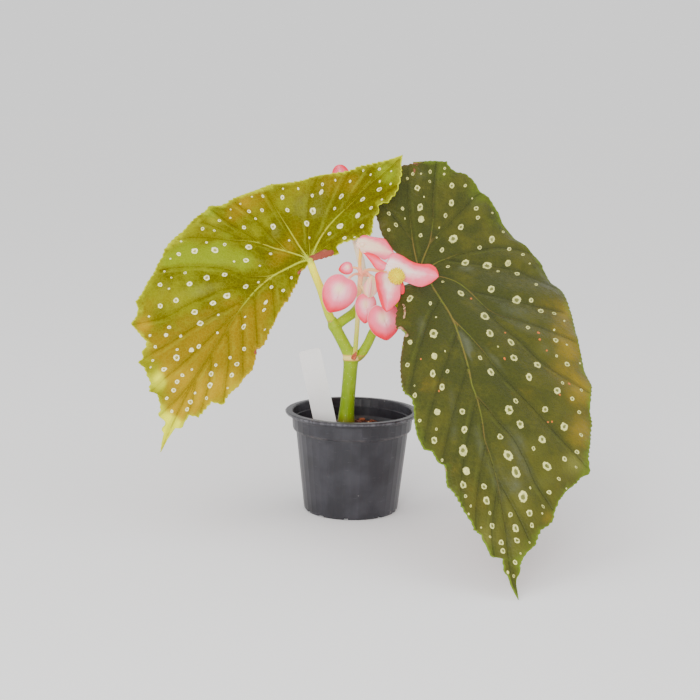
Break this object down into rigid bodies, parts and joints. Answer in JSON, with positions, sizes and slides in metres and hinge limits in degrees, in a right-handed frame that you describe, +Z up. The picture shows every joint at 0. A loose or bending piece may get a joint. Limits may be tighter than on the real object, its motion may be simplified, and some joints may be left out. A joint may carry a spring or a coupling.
{
  "type": "potted cane begonia",
  "caption": "Young cane begonia with spotted angel-wing leaves and a cluster of pink flowers in a small round nursery pot with a blank label.",
  "frame": {"origin": "centre of the flat pad under the pot, on the surface that the pot stands on", "axes": "+Z up along the pot's axis; leaves and flowers face -Y; +X to the right of a viewer in front"},
  "size_m": [0.2907, 0.2338, 0.238],
  "materials": {
    "pot": "satin",
    "soil": "rough",
    "plant_label": "satin",
    "cane": "satin",
    "leaf_stalk_left": "satin",
    "leaf_stalk_right": "satin",
    "leaf_left": "satin",
    "leaf_right": "satin",
    "flower_stalk": "satin",
    "rear_flower_stalk": "satin",
    "left_bud": "waxy",
    "small_bud": "waxy",
    "middle_bud": "waxy",
    "right_bud": "waxy",
    "open_flower_tepals": "waxy",
    "open_flower_stamens": "grainy",
    "back_flower": "waxy",
    "rear_flower": "waxy",
    "seed_pod": "waxy",
    "bract": "dry"
  },
  "bodies": {
    "root": {"pot": "pot", "soil": "soil", "plant_label": "plant_label", "cane": "cane", "leaf_stalk_left": "leaf_stalk_left", "leaf_stalk_right": "leaf_stalk_right", "leaf_left": "leaf_left", "leaf_right": "leaf_right", "flower_stalk": "flower_stalk", "rear_flower_stalk": "rear_flower_stalk", "left_bud": "left_bud", "small_bud": "small_bud", "middle_bud": "middle_bud", "right_bud": "right_bud", "open_flower_tepals": "open_flower_tepals", "open_flower_stamens": "open_flower_stamens", "back_flower": "back_flower", "rear_flower": "rear_flower", "seed_pod": "seed_pod", "bract": "bract"}
  },
  "joints": []
}
